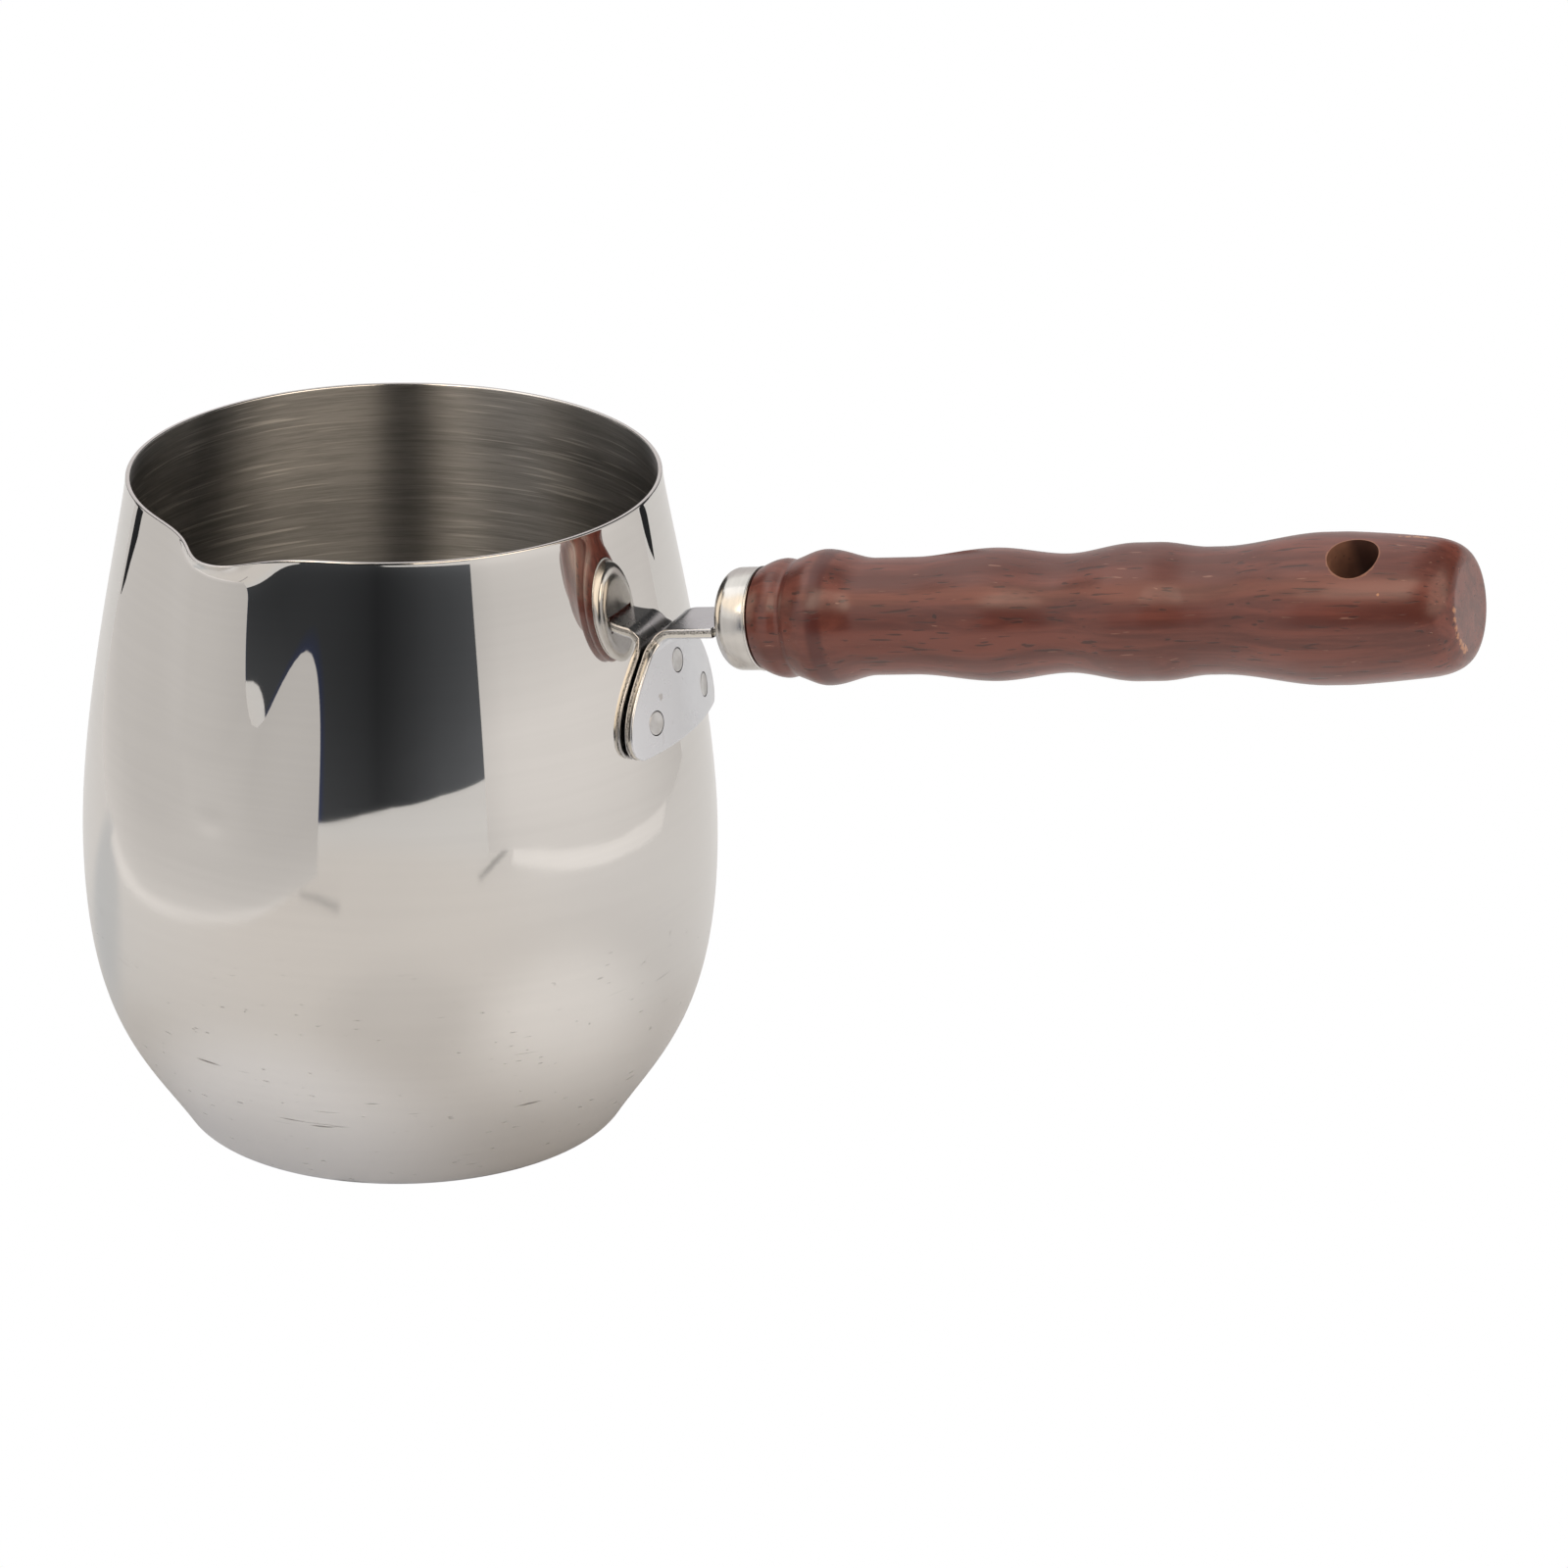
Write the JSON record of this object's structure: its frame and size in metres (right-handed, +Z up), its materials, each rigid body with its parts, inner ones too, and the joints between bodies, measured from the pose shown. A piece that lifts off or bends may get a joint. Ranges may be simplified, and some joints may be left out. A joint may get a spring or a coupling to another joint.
{
  "type": "turkish coffee pot",
  "caption": "Round steel coffee pot with a pressed pouring lip, a welded side bracket and a turned wooden handle with a hang hole.",
  "frame": {"origin": "centre of the flat base, on the surface that the pot stands on", "axes": "+Z up, +X out along the handle as seen from above; the pouring lip is on the side of -Y, 101 degrees round from the handle, to the left of whoever holds the handle"},
  "size_m": [0.2089, 0.0922, 0.1098],
  "materials": {
    "pot_steel": "polished above the belly, satin towards the base",
    "bracket_steel": "rolled sheet with sheared edges",
    "weld_steel": "dull, as left by the electrode",
    "ferrule_metal": "satin nickel plate",
    "handle_wood": "red-brown lacquer, satin"
  },
  "bodies": {
    "root": {"pot_body": "pot_steel", "handle_bracket": "bracket_steel", "spot_weld_high": "weld_steel", "spot_weld_lip_side": "weld_steel", "spot_weld_far_side": "weld_steel", "ferrule": "ferrule_metal", "wooden_handle": "handle_wood"}
  },
  "joints": []
}
